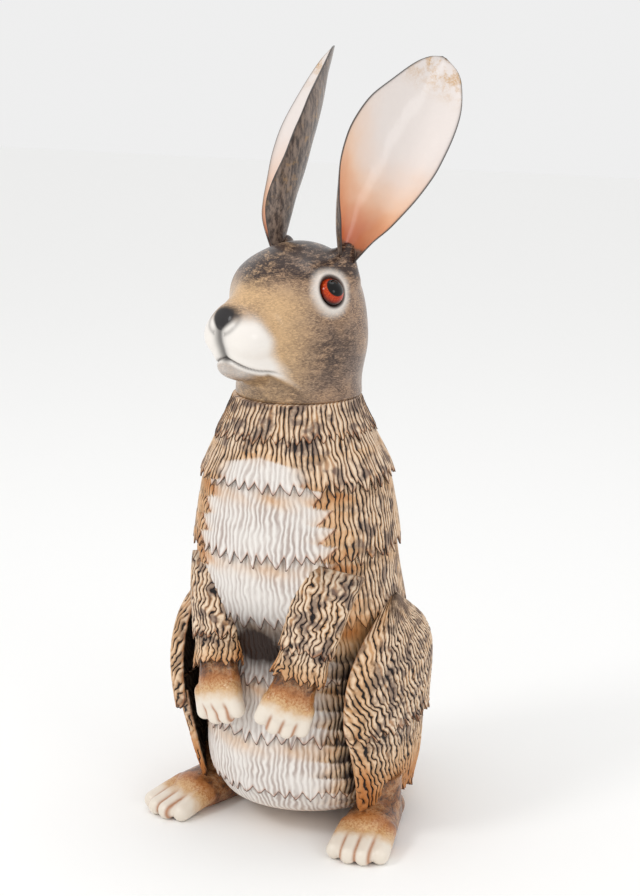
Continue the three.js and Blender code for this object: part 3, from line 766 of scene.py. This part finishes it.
def sleeve(side, name, node, low, high, covered, seed, cuff):
    bottom, seed = low * arm["length"] + cuff, seed - side
    spec = {
        "top": high, "ledge": bottom + body["lap"], "edge": lambda turn: bottom + 0 * turn, "seed": seed,
        "tuck": body["tuck"] if covered else 0, "under": high - body["hidden"] if covered else high,
        "flare": 3.2, "clear": 6, "lock": 9, "long": 9,
    }
    fur, around = furSleeve(name, armPoint(side), spec, arm["rows"], arm["columns"], armPaint)
    chased(fur, around, Slant=0.5 * side, Seed=seed, **armStrokes)
    finished(fur, "fur_paint", node)


# soft round forms: balls along rods, merged and smoothed

def softForm(name, rods, voxel, rounds, floor=None):
    shape = bmesh.new()
    for start, end, thin, thick, count in rods:
        for share in np.linspace(0, 1, count):
            middle = mixed(np.array(start, float), np.array(end, float), share) * mm
            radii = mixed(np.array(thin, float), np.array(thick, float), share) * mm
            place = Matrix.Translation(middle.tolist()) @ Matrix.Diagonal([*radii, 1])
            bmesh.ops.create_icosphere(shape, subdivisions=4, radius=1, matrix=place)
    mesh = bpy.data.meshes.new(name)
    shape.to_mesh(mesh)
    shape.free()
    piece = placed(name, mesh)
    skin = piece.modifiers.new("skin", "REMESH")
    skin.mode, skin.voxel_size, skin.use_smooth_shade = "VOXEL", voxel * mm, True
    soften = piece.modifiers.new("soften", "SMOOTH")
    soften.factor, soften.iterations = 0.5, rounds
    applied(piece)
    points = read(piece.data, "co") / mm
    if floor is not None:
        points[:, 2] = np.maximum(points[:, 2], floor)
    return piece, points


def settle(piece, points, place, data, material):  # local points in mm go to their place in the model
    piece.data.vertices.foreach_set("co", ((place(points)) * mm + shift).astype(np.float32).ravel())
    carry(piece.data, data)
    piece.data.materials.clear()
    piece.data.materials.append(material)
    piece.data.polygons.foreach_set("use_smooth", np.ones(len(piece.data.polygons), bool))
    piece.data.update()


paw = {"size": 62, "toes": (-1, -0.34, 0.34, 1)}


def frontPaw(side, name):
    s = paw["size"]
    palm = [0.38 * s, 0.25 * s, 0.3 * s]
    rods = [
        ([0, 0, 0.2 * s], [0, 0, -0.1 * s], [0.3 * s, 0.23 * s, 0.15 * s], [0.33 * s, 0.24 * s, 0.2 * s], 5),
        ([0, 0, -0.1 * s], [0, 0.01 * s, -0.4 * s], [0.33 * s, 0.24 * s, 0.2 * s], palm, 4),
    ]
    for x in paw["toes"]:
        end = (-0.8 if abs(x) < 1 else -0.72) * s
        start = [0.25 * x * s, -0.05 * s, -0.36 * s]
        tip = [0.3 * x * s, 0.02 * s, end + 0.08 * s]
        rods.append((start, tip, [0.15 * s] * 3, [0.125 * s, 0.13 * s, 0.13 * s], 9))
    piece, points = softForm(name + "_paw_form", rods, 1.1, 5)
    _, centre, across, front, up = armFrame(side, arm["wrist"] * arm["length"] + body["lap"] - body["fit"])
    frameRows = np.array([across, -front, up])
    toe = smoothStep(0.15 * s, -0.68 * s, points[:, 2])
    spots = np.array([-0.67, 0, 0.67]) * 0.29 * s
    cleft = hump(points[:, :1], spots, 1.4).max(1) * smoothStep(-0.5 * s, -0.62 * s, points[:, 2])
    settle(piece, points, lambda p: p @ frameRows + centre, {"toe": toe, "cleft": cleft}, toeEnamel)
    finished(piece, "toe_paint", name + "_paw")


foot = {"size": 130, "splay": 14.5, "uneven": 2.5, "x": 0.475, "y": -0.06, "ankle": 0.42}


def hindFoot(side, name):
    s = foot["size"]
    heel, instep = [0.15 * s, 0.17 * s, 0.12 * s], [0.2 * s, 0.22 * s, 0.14 * s]
    rods = [
        ([0, 0.3 * s, 0.1 * s], [0, 0.28 * s, 0.1 * s], heel, heel, 1),
        ([0, 0.12 * s, 0.12 * s], [0, -0.12 * s, 0.11 * s], [0.17 * s, 0.25 * s, 0.17 * s], instep, 5),
        ([0, 0.1 * s, 0.12 * s], [0, 0.13 * s, 0.4 * s], [0.17 * s] * 3, [0.165 * s] * 3, 10),
    ]
    for x in paw["toes"]:
        end = (-0.5 if abs(x) < 1 else -0.45) * s
        start = [0.13 * x * s, -0.18 * s, 0.12 * s]
        rods.append((start, [0.162 * x * s, end, 0.062 * s], [0.082 * s] * 3, [0.066 * s] * 3, 14))
    piece, points = softForm(name + "_foot_form", rods, 1.4, 5, 0)
    points[:, 2] = np.minimum(points[:, 2], foot["ankle"] * s)
    spin = turning(side * (foot["splay"] - foot["uneven"] * side))
    middle = np.array([side * foot["x"] * body["width"], foot["y"] * body["depth"], 0])
    toe = smoothStep(0.02 * s, -0.5 * s, points[:, 1] + 0.3 * (points[:, 2] - 0.1 * s))
    spots = np.array([-0.67, 0, 0.67]) * 0.152 * s
    cleft = hump(points[:, :1], spots, 1.5).max(1) * smoothStep(-0.3 * s, -0.42 * s, points[:, 1])
    settle(piece, points, lambda p: p @ spin + middle, {"toe": toe, "cleft": cleft}, toeEnamel)
    finished(piece, "toe_paint", name + "_foot")


# haunches: a bulging sheet, open at the front, in two bands
haunch = {"sheet": 2.4, "full": 0.75, "columns": 220, "lock": 12, "long": 15}
haunchUpper = {
    "low": 0.285, "high": 0.56, "flare": 5, "sink": 0, "rows": 66, "seed": 5, "warm": 0,
    "strokes": {"Slant": -2.6, "Spacing": 6.0, "Depth": 0.0014, "Wander": 1.5, "Length": 26},
}
haunchLower = {
    "low": 0.085, "high": 0.31, "flare": 0, "sink": 0.6, "rows": 54, "seed": 9, "warm": 1,
    "strokes": {"Slant": -0.9, "Spacing": 5.4, "Depth": 0.0014, "Wander": 1.5, "Length": 26},
}
haunchAt = curveThrough([
    [0.06, -0.17, 0.43, 0.43, 0.075], [0.14, -0.225, 0.45, 0.45, 0.1], [0.21, -0.28, 0.46, 0.452, 0.118],
    [0.29, -0.34, 0.45, 0.452, 0.14], [0.37, -0.355, 0.455, 0.46, 0.155], [0.43, -0.32, 0.43, 0.472, 0.15],
    [0.485, -0.23, 0.33, 0.49, 0.12], [0.535, -0.07, 0.17, 0.505, 0.06], [0.56, 0.02, 0.09, 0.51, 0.02],
])


def haunchPoint(side, u, height, out):
    front, back, rim, bulge = np.moveaxis(haunchAt(height / body["height"]), -1, 0)
    turn = u * np.pi
    half = (back - front) / 2 * body["depth"] + out
    reach = np.clip(np.sin(turn), 0, 1) ** haunch["full"]
    x = side * (rim * body["width"] + (bulge * body["width"] + out) * reach)
    return spread([x, (front + back) / 2 * body["depth"] - half * np.cos(turn), height])


def haunchSheet(side, name, node, spec):
    u, seed = np.linspace(0, 1, haunch["columns"]), side + spec["seed"]
    bottom, top = spec["low"] * body["height"], spec["high"] * body["height"]
    line = haunchPoint(side, u, np.full(haunch["columns"], bottom), 0)
    along = np.append(0, np.cumsum(np.linalg.norm(np.diff(line, axis=0), axis=1)))
    which, share, wide = locks(along, along[-1], haunch["lock"], seed)
    long = haunch["long"] * mixed(0.5, 1, chance(which + seed * 31.0))
    tip = bottom - long * (1 - np.abs(2 * share - 1) ** 1.5)
    height = tip + (top - tip) * np.linspace(0, 1, spec["rows"])[:, None]
    below = np.clip((bottom - height) / long, 0, 1)
    sideways = (0.5 - share) * wide * 0.3 * below ** 1.6
    fallen = np.clip((top - height) / (top - bottom), 0, 1)
    lift = 1.2 * (1 - (2 * share - 1) ** 2) + chance(which + 3.0) - 0.6
    out = mixed(-spec["sink"], spec["flare"], fallen) + below * lift
    place = np.clip(u + sideways / along[-1], 0, 1)
    outer = haunchPoint(side, place, height, out)
    inner = haunchPoint(side, place, height, out - haunch["sheet"])
    zero = 0 * height
    rim = np.exp(-along / 2.2) + 0 * height
    foxed = 1.4 * smoothStep(70, 0, height - bottom) * spec["warm"]
    # the edge mark gives rust and painted shade along the cut tips and the front rim
    data = {
        "across": (along + zero, along + zero), "down": (top - height, top - height),
        "chase": (1.25 * smoothStep(0, 3, along) + zero, zero + 0.25), "shade": (zero, zero),
        "edge": (np.exp(-(height - tip) / 3.5) + 0.6 * rim, zero), "inside": (zero, zero + 0.9),
        "white": (zero, zero), "warm": (foxed + 0.7 * hump(u, 0.1, 0.08) + zero, zero),
    }
    fur = sheetPiece(name, outer, inner, data)
    chased(fur, Seed=seed, **spec["strokes"])
    finished(fur, "fur_paint", node)


upperArm = {"low": arm["elbow"], "high": arm["top"] * arm["length"], "covered": False, "seed": 12, "cuff": 2}
forearm = {
    "low": arm["wrist"], "high": arm["elbow"] * arm["length"] + body["lap"] - body["fit"], "covered": True,
    "seed": 16, "cuff": arm["cuff"],
}
for side, name in ((1, "left"), (-1, "right")):
    print("limbs on the", name)
    sleeve(side, name + "_upper_sleeve", name + "_upper_arm", **upperArm)
    sleeve(side, name + "_lower_sleeve", name + "_forearm", **forearm)
    frontPaw(side, name)
    hindFoot(side, name)
    haunchSheet(side, name + "_haunch_fur", name + "_haunch", haunchUpper)
    haunchSheet(side, name + "_shank_fur", name + "_shank", haunchLower)


# the head, in its own place: left, forward and up, as shares of its length
head = {"length": 160, "turn": 16, "rise": 67, "soft": 0.1, "eye": 13, "detail": 7}
headCentre = np.array([0, 0.012 * body["depth"], body["height"] + head["rise"]])


def inHead(left, forward, up):
    return np.array([left, -forward, up]) * head["length"]


def ball(centre, radii):
    radii = np.array(radii) * head["length"]

    def distance(p):
        away = (p - centre) / radii
        near = np.linalg.norm(away, axis=-1)
        return near * (near - 1) / np.maximum(np.linalg.norm(away / radii, axis=-1), 1e-6)
    return distance


def rod(start, end, startRadius, endRadius):
    along = end - start

    def distance(p):
        t = np.clip((p - start) @ along / (along @ along), 0, 1)
        away = np.linalg.norm(p - start - t[..., None] * along, axis=-1)
        return away - mixed(startRadius, endRadius, t) * head["length"]
    return distance


headForms = [
    ball(inHead(0, 0, 0.1), (0.35, 0.385, 0.345)),
    ball(inHead(0, -0.01, -0.08), (0.375, 0.39, 0.33)),
    *(ball(inHead(x, 0.12, 0.17), (0.15, 0.16, 0.15)) for x in (0.17, -0.17)),
    rod(inHead(0, 0.2, 0.12), inHead(0, 0.47, 0.045), 0.2, 0.12),
    *(ball(inHead(x, 0.44, -0.04), (0.125, 0.16, 0.125)) for x in (0.09, -0.09)),
    ball(inHead(0, 0.385, -0.215), (0.16, 0.18, 0.08)),
    rod(inHead(0, 0, -0.2), inHead(0, -0.01, -0.6), 0.355, 0.365),
]


earStubs = [  # the feet of the ears, which the solid head leaves out
    rod(inHead(side * 0.23, -0.1, 0.28), inHead(side * 0.245, -0.14, 0.4), 0.1, 0.046) for side in (1, -1)
]


def headForm(p, forms=headForms):
    soft = head["soft"] * head["length"]
    near = forms[0](p)
    for form in forms[1:]:
        other = form(p)
        h = np.clip(0.5 + 0.5 * (other - near) / soft, 0, 1)
        near = mixed(other, near, h) - soft * h * (1 - h)
    return near


def leaving(form, start, rays, far):  # where rays from inside a form leave it
    inside = np.full(len(rays), far)
    looking = np.ones(len(rays), bool)
    step = far / 100
    while looking.any() and inside.min() > -far:
        out = form(start + rays[looking] * inside[looking, None]) > 0
        where = np.flatnonzero(looking)
        inside[where[out]] -= step
        looking[where[~out]] = False
        looking &= inside > step
    outside = inside + step
    for _ in range(12):
        middle = (inside + outside) / 2
        out = form(start + rays * middle[:, None]) > 0
        outside, inside = np.where(out, middle, outside), np.where(out, inside, middle)
    return start + rays * inside[:, None]


def placeHead(points):
    return points @ turning(-head["turn"]) + headCentre


def eyeAxis(side):
    return unit(inHead(side * 0.31, 0.075, 0.19))


def eyeCentre(side):
    surface = leaving(headForm, np.zeros(3), eyeAxis(side)[None], head["length"] * 1.0)[0]
    return surface - eyeAxis(side) * 0.45 * head["eye"]


def ballMesh(name, detail):
    shape = bmesh.new()
    bmesh.ops.create_icosphere(shape, subdivisions=detail, radius=1)
    mesh = bpy.data.meshes.new(name)
    shape.to_mesh(mesh)
    shape.free()
    return placed(name, mesh), read(mesh, "co")


def normalsOf(piece, points):
    piece.data.vertices.foreach_set("co", points.astype(np.float32).ravel())
    piece.data.update()
    return read(piece.data, "normal")


ear = {
    "length": 204, "splay": 6.5, "lean": 29, "leanMore": 2, "twist": 12, "sheet": 1.3,
    "base": (0.235, -0.11, 0.36), "columns": 72, "rows": 120,
}
face = {
    "philtrum": 1.6, "mouth": 2.4, "lip": 1.0, "nose": 1.0, "lid": 1.8, "lidRing": 14.2, "socket": 4.0,
    "mouthUp": -23.5, "mouthDrop": 17, "mouthHalf": 34, "jawUp": -40, "jaw": 1.4, "jawSlope": 0.75,
    "noseUp": 13,
}


def eyeMarks(p):  # lids, sockets and painted rings, for both eyes
    ring, socket, pale, dark = np.zeros((4, len(p)))
    for side in (1, -1):
        axis, away = eyeAxis(side), p - eyeCentre(side)
        depth = away @ axis
        reach = np.linalg.norm(away - depth[:, None] * axis, axis=1)
        near = depth > -6
        ring += near * hump(reach, face["lidRing"], 2.6)
        socket += near * smoothStep(face["lidRing"] - 0.5, face["lidRing"] - 4, reach)
        pale += near * smoothStep(25, 15, reach)
        dark += near * smoothStep(16, 13, reach)
    return ring, socket, pale, dark


def earBase(p):  # 1 at the foot of an ear
    feet = [np.linalg.norm(p - inHead(side * ear["base"][0], *ear["base"][1:]), axis=1) for side in (1, -1)]
    return smoothStep(34, 16, np.minimum(*feet))


def headShell():
    piece, rays = ballMesh("head_skin", head["detail"])
    rays = unit(rays * [1, 1.15, 1.05])
    start = inHead(0, 0.08, -0.02)
    p = leaving(lambda q: headForm(q, headForms + earStubs), start, rays, 2.3 * head["length"])
    floor = body["fit"] - head["rise"]
    low = p[:, 2] < floor
    p[low] = start + (p[low] - start) * ((floor - start[2]) / (p[low, 2] - start[2]))[:, None]
    normals = normalsOf(piece, p)
    left, forward, up = p[:, 0], -p[:, 1], p[:, 2]
    side, fine = np.abs(left), drift(left / 9, up / 9, 3.0)
    front = smoothStep(66, 80, forward)
    noseUp = up - face["noseUp"]
    fromNose = np.hypot((left - 1.5) / (11.5 + 0.35 * noseUp), noseUp / 8.8)
    nose = smoothStep(1.35, 0.75, fromNose) * smoothStep(66, 76, forward)
    philtrum = hump(left, 0, 3.4) * smoothStep(-26, -22, up) * smoothStep(8, 1, up) * front
    mouthLine = face["mouthUp"] - face["mouthDrop"] * (side / face["mouthHalf"]) ** 1.5
    mouthFade = smoothStep(face["mouthHalf"] + 5, face["mouthHalf"] - 4, side) * smoothStep(50, 62, forward)
    mouth = hump(up, mouthLine, 1.2) * mouthFade * (1 - 0.4 * smoothStep(12, 32, side))
    lips = hump(up, mouthLine + 5, 4) * mouthFade
    jawLine = face["jawUp"] - face["jawSlope"] * (62 - forward)
    jaw = hump(up, jawLine, 2.4) * smoothStep(30, 40, forward) * smoothStep(68, 60, forward)
    jaw = jaw * smoothStep(14, 24, side)
    ring, socket, pale, rim = eyeMarks(p)
    move = face["nose"] * nose - face["philtrum"] * philtrum - face["mouth"] * mouth
    move = move + face["lip"] * lips - face["jaw"] * jaw
    p = p + normals * (move + face["lid"] * ring - face["socket"] * socket)[:, None]
    boundary = 70 + 0.5 * (up + 5)
    muzzle = smoothStep(boundary - 10, boundary + 6, forward + 3 * fine) * smoothStep(22, 6, up)
    muzzle = muzzle * smoothStep(-8, -1, up - mouthLine)
    chin = 0.45 * smoothStep(2, -6, up - mouthLine) * smoothStep(-46, -34, up)
    chin = chin * smoothStep(30, 16, side) * front
    golden = hump(forward, 58, 24) * smoothStep(56, 20, up)
    bridge = smoothStep(22, 8, side) * smoothStep(8, 20, up)
    lipShade = hump(left, 0, 5.5) * smoothStep(9, 3, up) * smoothStep(-29, -24, up) * front
    # painted shadow of the nostril crease beside the nose
    nostrilShadow = hump(np.hypot(left / 1.35, noseUp + 2), 12.5, 1.8) * (noseUp < 4) * front * (side > 6)
    crown = smoothStep(38, 58, up + 5 * fine + 0.1 * forward) * smoothStep(66, 44, side)
    cheek = 0.75 * hump(forward, 12, 28) * hump(up, -24, 30) * smoothStep(24, 40, side)
    throat = 0.5 * smoothStep(-6, 6, jawLine - up) * (0.8 + 0.2 * fine)
    data = {
        "white": np.clip(np.maximum(muzzle * (1 - bridge), chin) + 0.75 * pale, 0, 1),
        "gold": np.clip(golden + 0.4 * bridge, 0, 1) * (1 - 0.5 * throat),
        "dark": np.clip(crown + cheek + throat + 0.7 * earBase(p), 0, 1) * (1 - 0.9 * pale.clip(0, 1)),
        "nose": np.clip(nose + 0.8 * lipShade + 0.4 * nostrilShadow, 0, 1),
        # the dark mouth line, painted shade in the jaw's crease, and the dark rims round the eyes
        "crease": np.clip(0.9 * mouth + 0.35 * jaw + 0.95 * rim, 0, 1),
    }
    settle(piece, p, placeHead, data, headEnamel)
    finished(piece, "head_paint", "head_shell")


print("the head, eyes and ears")
headShell()


def glassEye(side, name):
    piece, rays = ballMesh(name + "_glass_eye", 5)
    axis = eyeAxis(side)
    facing = np.clip(rays @ unit(axis + np.array([0.03, 0.13, 0.1])), -1, 1)
    points = rays * head["eye"] * (1 + 0.05 * smoothStep(0.6, 1, facing))[:, None] + eyeCentre(side)
    settle(piece, points, placeHead, {"gaze": np.arccos(facing) / (np.pi / 2)}, eyeGlass)
    finished(piece, "eye_glass", name + "_eye")


glassEye(1, "left")
glassEye(-1, "right")


# ears: leaves of sheet, curled about their middle line
earAt = curveThrough([  # share of its length, half its width, curl and facing in degrees, shift outwards
    [0.0, 0.04, 112, 55, 0], [0.1, 0.09, 104, 53, -0.035], [0.2, 0.14, 88, 49, -0.045],
    [0.34, 0.188, 70, 44, -0.045], [0.5, 0.216, 60, 41, -0.036], [0.66, 0.208, 52, 40, -0.02],
    [0.8, 0.168, 44, 40, 0.008], [0.91, 0.118, 36, 40, 0.018], [0.97, 0.07, 30, 40, 0.02],
    [1.0, 0.012, 28, 40, 0.01],
])


def earPoint(side, u, v, inset):
    half, curl, facing, shiftOut = np.moveaxis(earAt(v), -1, 0)
    splay, lean = math.radians(ear["splay"]), math.radians(ear["lean"] + ear["leanMore"] * side)
    upright = math.cos(splay)
    along = np.array([side * math.sin(splay), upright * math.sin(lean), upright * math.cos(lean)])
    turn = np.radians(facing + side * ear["twist"])
    opening = spread([side * np.sin(turn), -np.cos(turn), 0 * turn])
    opening = unit(opening - (opening @ along)[..., None] * along)
    outwards = np.cross(along, opening) * side
    bend = np.radians(curl)
    radius = half * ear["length"] / np.sin(np.minimum(bend, np.pi / 2))
    angle = (2 * u - 1) * bend
    reach = np.maximum(radius - inset, 0.05)
    wide = (reach * np.sin(angle) + shiftOut * ear["length"])[..., None]
    deep = (radius - reach * np.cos(angle))[..., None]
    base = inHead(side * ear["base"][0], *ear["base"][1:])
    return base + along * (v * ear["length"])[..., None] + outwards * wide + opening * deep


def earLeaf(side, name):
    u, v = np.meshgrid(np.linspace(0, 1, ear["columns"]), np.linspace(0, 1, ear["rows"]))
    dents = 0.7 * drift(u * 5, v * 9, 4.0 + side)
    outer, inner = earPoint(side, u, v, dents), earPoint(side, u, v, ear["sheet"] + dents)
    zero = 0 * u
    chord = earAt(v)[..., 0] * ear["length"]
    rim = np.exp(-np.minimum(u, 1 - u) * 2 * chord / 0.9) + np.exp(-(1 - v) * ear["length"] / 1.2)
    middle, front = hump(u, 0.5, 0.28), smoothStep(0.5, 0, u)
    data = {
        "along": (v, v), "inner": (zero, zero + 1), "rim": (rim, 0.8 * rim), "middle": (middle, middle),
        "front": (front, front),
    }
    piece = sheetPiece(name + "_ear_leaf", placeHead(outer), placeHead(inner), data)
    piece.data.materials.append(earEnamel)
    finished(piece, "ear_paint", name + "_ear")


earLeaf(1, "left")
earLeaf(-1, "right")


# the studio: a pale floor, soft lights and the photograph's view
studio = {
    "azimuth": 29, "elevation": 14, "distance": 1.75, "pixel": 0.00092, "aim": (0, 0, 350),
    "at": (297, 458.25), "picture": (640, 896), "sensor": 36, "floor": 6,
}
studioLights = (  # name, place and size in metres, power
    ("keyLight", (-0.9, -1.7, 1.9), 0.7, 12),
    ("fillLight", (1.9, -1.0, 1.1), 0.8, 4),
    ("topLight", (0.2, 0.4, 2.3), 1.0, 4),
)


def makeStudio():
    mesh = bpy.data.meshes.new("floor")
    far = studio["floor"]
    mesh.from_pydata([(-far, -far, 0), (far, -far, 0), (far, far, 0), (-far, far, 0)], [], [(0, 1, 2, 3)])
    floor = placed("floor", mesh)
    card = bpy.data.materials.new("floorCard")
    card.use_nodes = True
    card.node_tree.nodes["Principled BSDF"].inputs["Base Color"].default_value = paint("FDFDFC")
    card.node_tree.nodes["Principled BSDF"].inputs["Roughness"].default_value = 0.9
    mesh.materials.append(card)
    world = bpy.data.worlds.new("studioAir")
    world.use_nodes = True
    world.node_tree.nodes["Background"].inputs[0].default_value = (1, 1, 1, 1)
    world.node_tree.nodes["Background"].inputs[1].default_value = 0.86
    bpy.context.scene.world = world
    for name, place, size, power in studioLights:
        lamp = bpy.data.lights.new(name, "AREA")
        lamp.shape, lamp.size, lamp.energy = "DISK", size, power
        light = placed(name, lamp)
        light.location = place
        light.rotation_euler = (Vector((0, 0, 0.35)) - Vector(place)).to_track_quat("-Z", "Y").to_euler()
    a, e = math.radians(studio["azimuth"]), math.radians(studio["elevation"])
    back = Vector((math.sin(a) * math.cos(e), -math.cos(a) * math.cos(e), math.sin(e)))
    lens = bpy.data.cameras.new("camera")
    wide, high = studio["picture"]
    lens.sensor_width = studio["sensor"]
    lens.lens = studio["sensor"] * studio["distance"] / studio["pixel"] / high
    lens.shift_x = (wide / 2 - studio["at"][0]) / high
    lens.shift_y = (studio["at"][1] - high / 2) / high
    camera = placed("camera", lens)
    aim = Vector((np.array(studio["aim"]) * mm + shift).tolist())
    camera.location = aim + back * studio["distance"]
    camera.rotation_euler = (-back).to_track_quat("-Z", "Y").to_euler()
    bpy.context.scene.camera = camera
    bpy.context.scene.view_settings.view_transform = "Standard"


print("the studio")
makeStudio()
